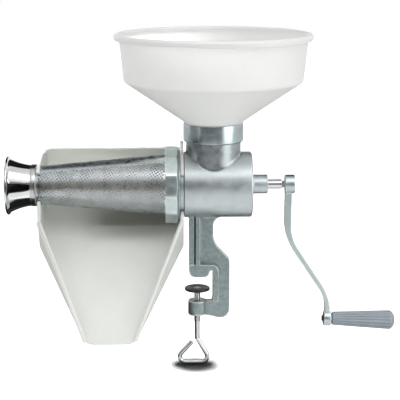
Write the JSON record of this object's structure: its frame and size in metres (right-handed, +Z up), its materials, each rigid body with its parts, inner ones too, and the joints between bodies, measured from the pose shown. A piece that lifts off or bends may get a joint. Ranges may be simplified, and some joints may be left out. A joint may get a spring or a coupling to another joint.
{
  "type": "food mill",
  "caption": "Hand-cranked food mill: screw clamp, lift-out hopper, auger barrel, conical perforated strainer with flared outlet, and a clip-on catch chute.",
  "frame": {"origin": "underside of the upper clamp jaw, on the axis of the clamp screw", "axes": "+X along the mill axis toward the crank, +Y away from the user, +Z up"},
  "size_m": [0.5863, 0.2908, 0.5082],
  "materials": {
    "cast_aluminium": "satin, sand-cast with machined faces",
    "white_plastic": "satin, slightly translucent",
    "screen_steel": "perforated stainless sheet",
    "polished_chrome": "mirror polished",
    "auger_nylon": "moulded nylon",
    "bearing_bronze": "sintered bronze",
    "gasket_rubber": "food-grade rubber",
    "seal_rubber": "black rubber",
    "plain_steel": "plain steel",
    "dark_steel": "oiled dark steel",
    "grip_plastic": "moulded plastic, satin"
  },
  "bodies": {
    "mill_body": {"body_casting": "cast_aluminium", "screen_gasket": "gasket_rubber", "rear_bushing": "bearing_bronze", "shaft_seal": "seal_rubber", "thrust_washer": "bearing_bronze"},
    "hopper_body": {"hopper": "white_plastic"},
    "chute_body": {"chute": "white_plastic"},
    "crank_body": {"crank_arm": "cast_aluminium", "crank_screw": "plain_steel", "drive_shaft": "polished_chrome", "drive_pin": "plain_steel", "auger": "auger_nylon", "grip_pin": "plain_steel", "grip_washer": "plain_steel"},
    "grip_body": {"grip": "grip_plastic"},
    "screen_body": {"screen_cone": "screen_steel", "screen_base_ring": "screen_steel", "tip_collar": "screen_steel", "discharge_flare": "polished_chrome"},
    "nut_body": {"ring_nut": "cast_aluminium"},
    "pad_carrier": {"pad_rivet": "dark_steel"},
    "screw_body": {"clamp_screw": "polished_chrome"},
    "pad_body": {"swivel_pad": "dark_steel"}
  },
  "joints": [
    {"name": "crank_turn", "type": "hinge", "parent": "mill_body", "child": "crank_body", "pos_m": [0, 0, 0.141], "axis": [1, 0, 0], "continuous": true},
    {"name": "grip_spin", "type": "hinge", "parent": "crank_body", "child": "grip_body", "pos_m": [0.1937, 0, -0.0697], "axis": [0.9994, 0, -0.0349], "continuous": true},
    {"name": "hopper_lift", "type": "slide", "parent": "mill_body", "child": "hopper_body", "axis": [0, 0, 1], "range_m": [0, 0.05]},
    {"name": "chute_swing", "type": "hinge", "parent": "mill_body", "child": "chute_body", "pos_m": [0, 0, 0.141], "axis": [1, 0, 0], "range_deg": [-30, 15]},
    {"name": "screen_slide", "type": "slide", "parent": "mill_body", "child": "screen_body", "axis": [1, 0, 0], "range_m": [-0.00251, 0]},
    {"name": "nut_turn", "type": "hinge", "parent": "screen_body", "child": "nut_body", "pos_m": [0, 0, 0.141], "axis": [1, 0, 0], "range_deg": [-360, 0]},
    {"name": "pad_slide", "type": "slide", "parent": "mill_body", "child": "pad_carrier", "axis": [0, 0, 1], "range_m": [-0.01201, 0.01721]},
    {"name": "clamp_turn", "type": "hinge", "parent": "pad_carrier", "child": "screw_body", "pos_m": [0, 0, -0.06], "axis": [0, 0, 1], "range_deg": [-2880, 4128]},
    {"name": "pad_tilt", "type": "hinge", "parent": "pad_carrier", "child": "pad_body", "pos_m": [0, 0, -0.0215], "axis": [1, 0, 0], "range_deg": [-4, 4]}
  ],
  "couplings": [
    {"joint": "screen_slide", "follows": "nut_turn", "m_per_rad": 0.00039789},
    {"joint": "pad_slide", "follows": "clamp_turn", "m_per_rad": 0.00023873}
  ]
}
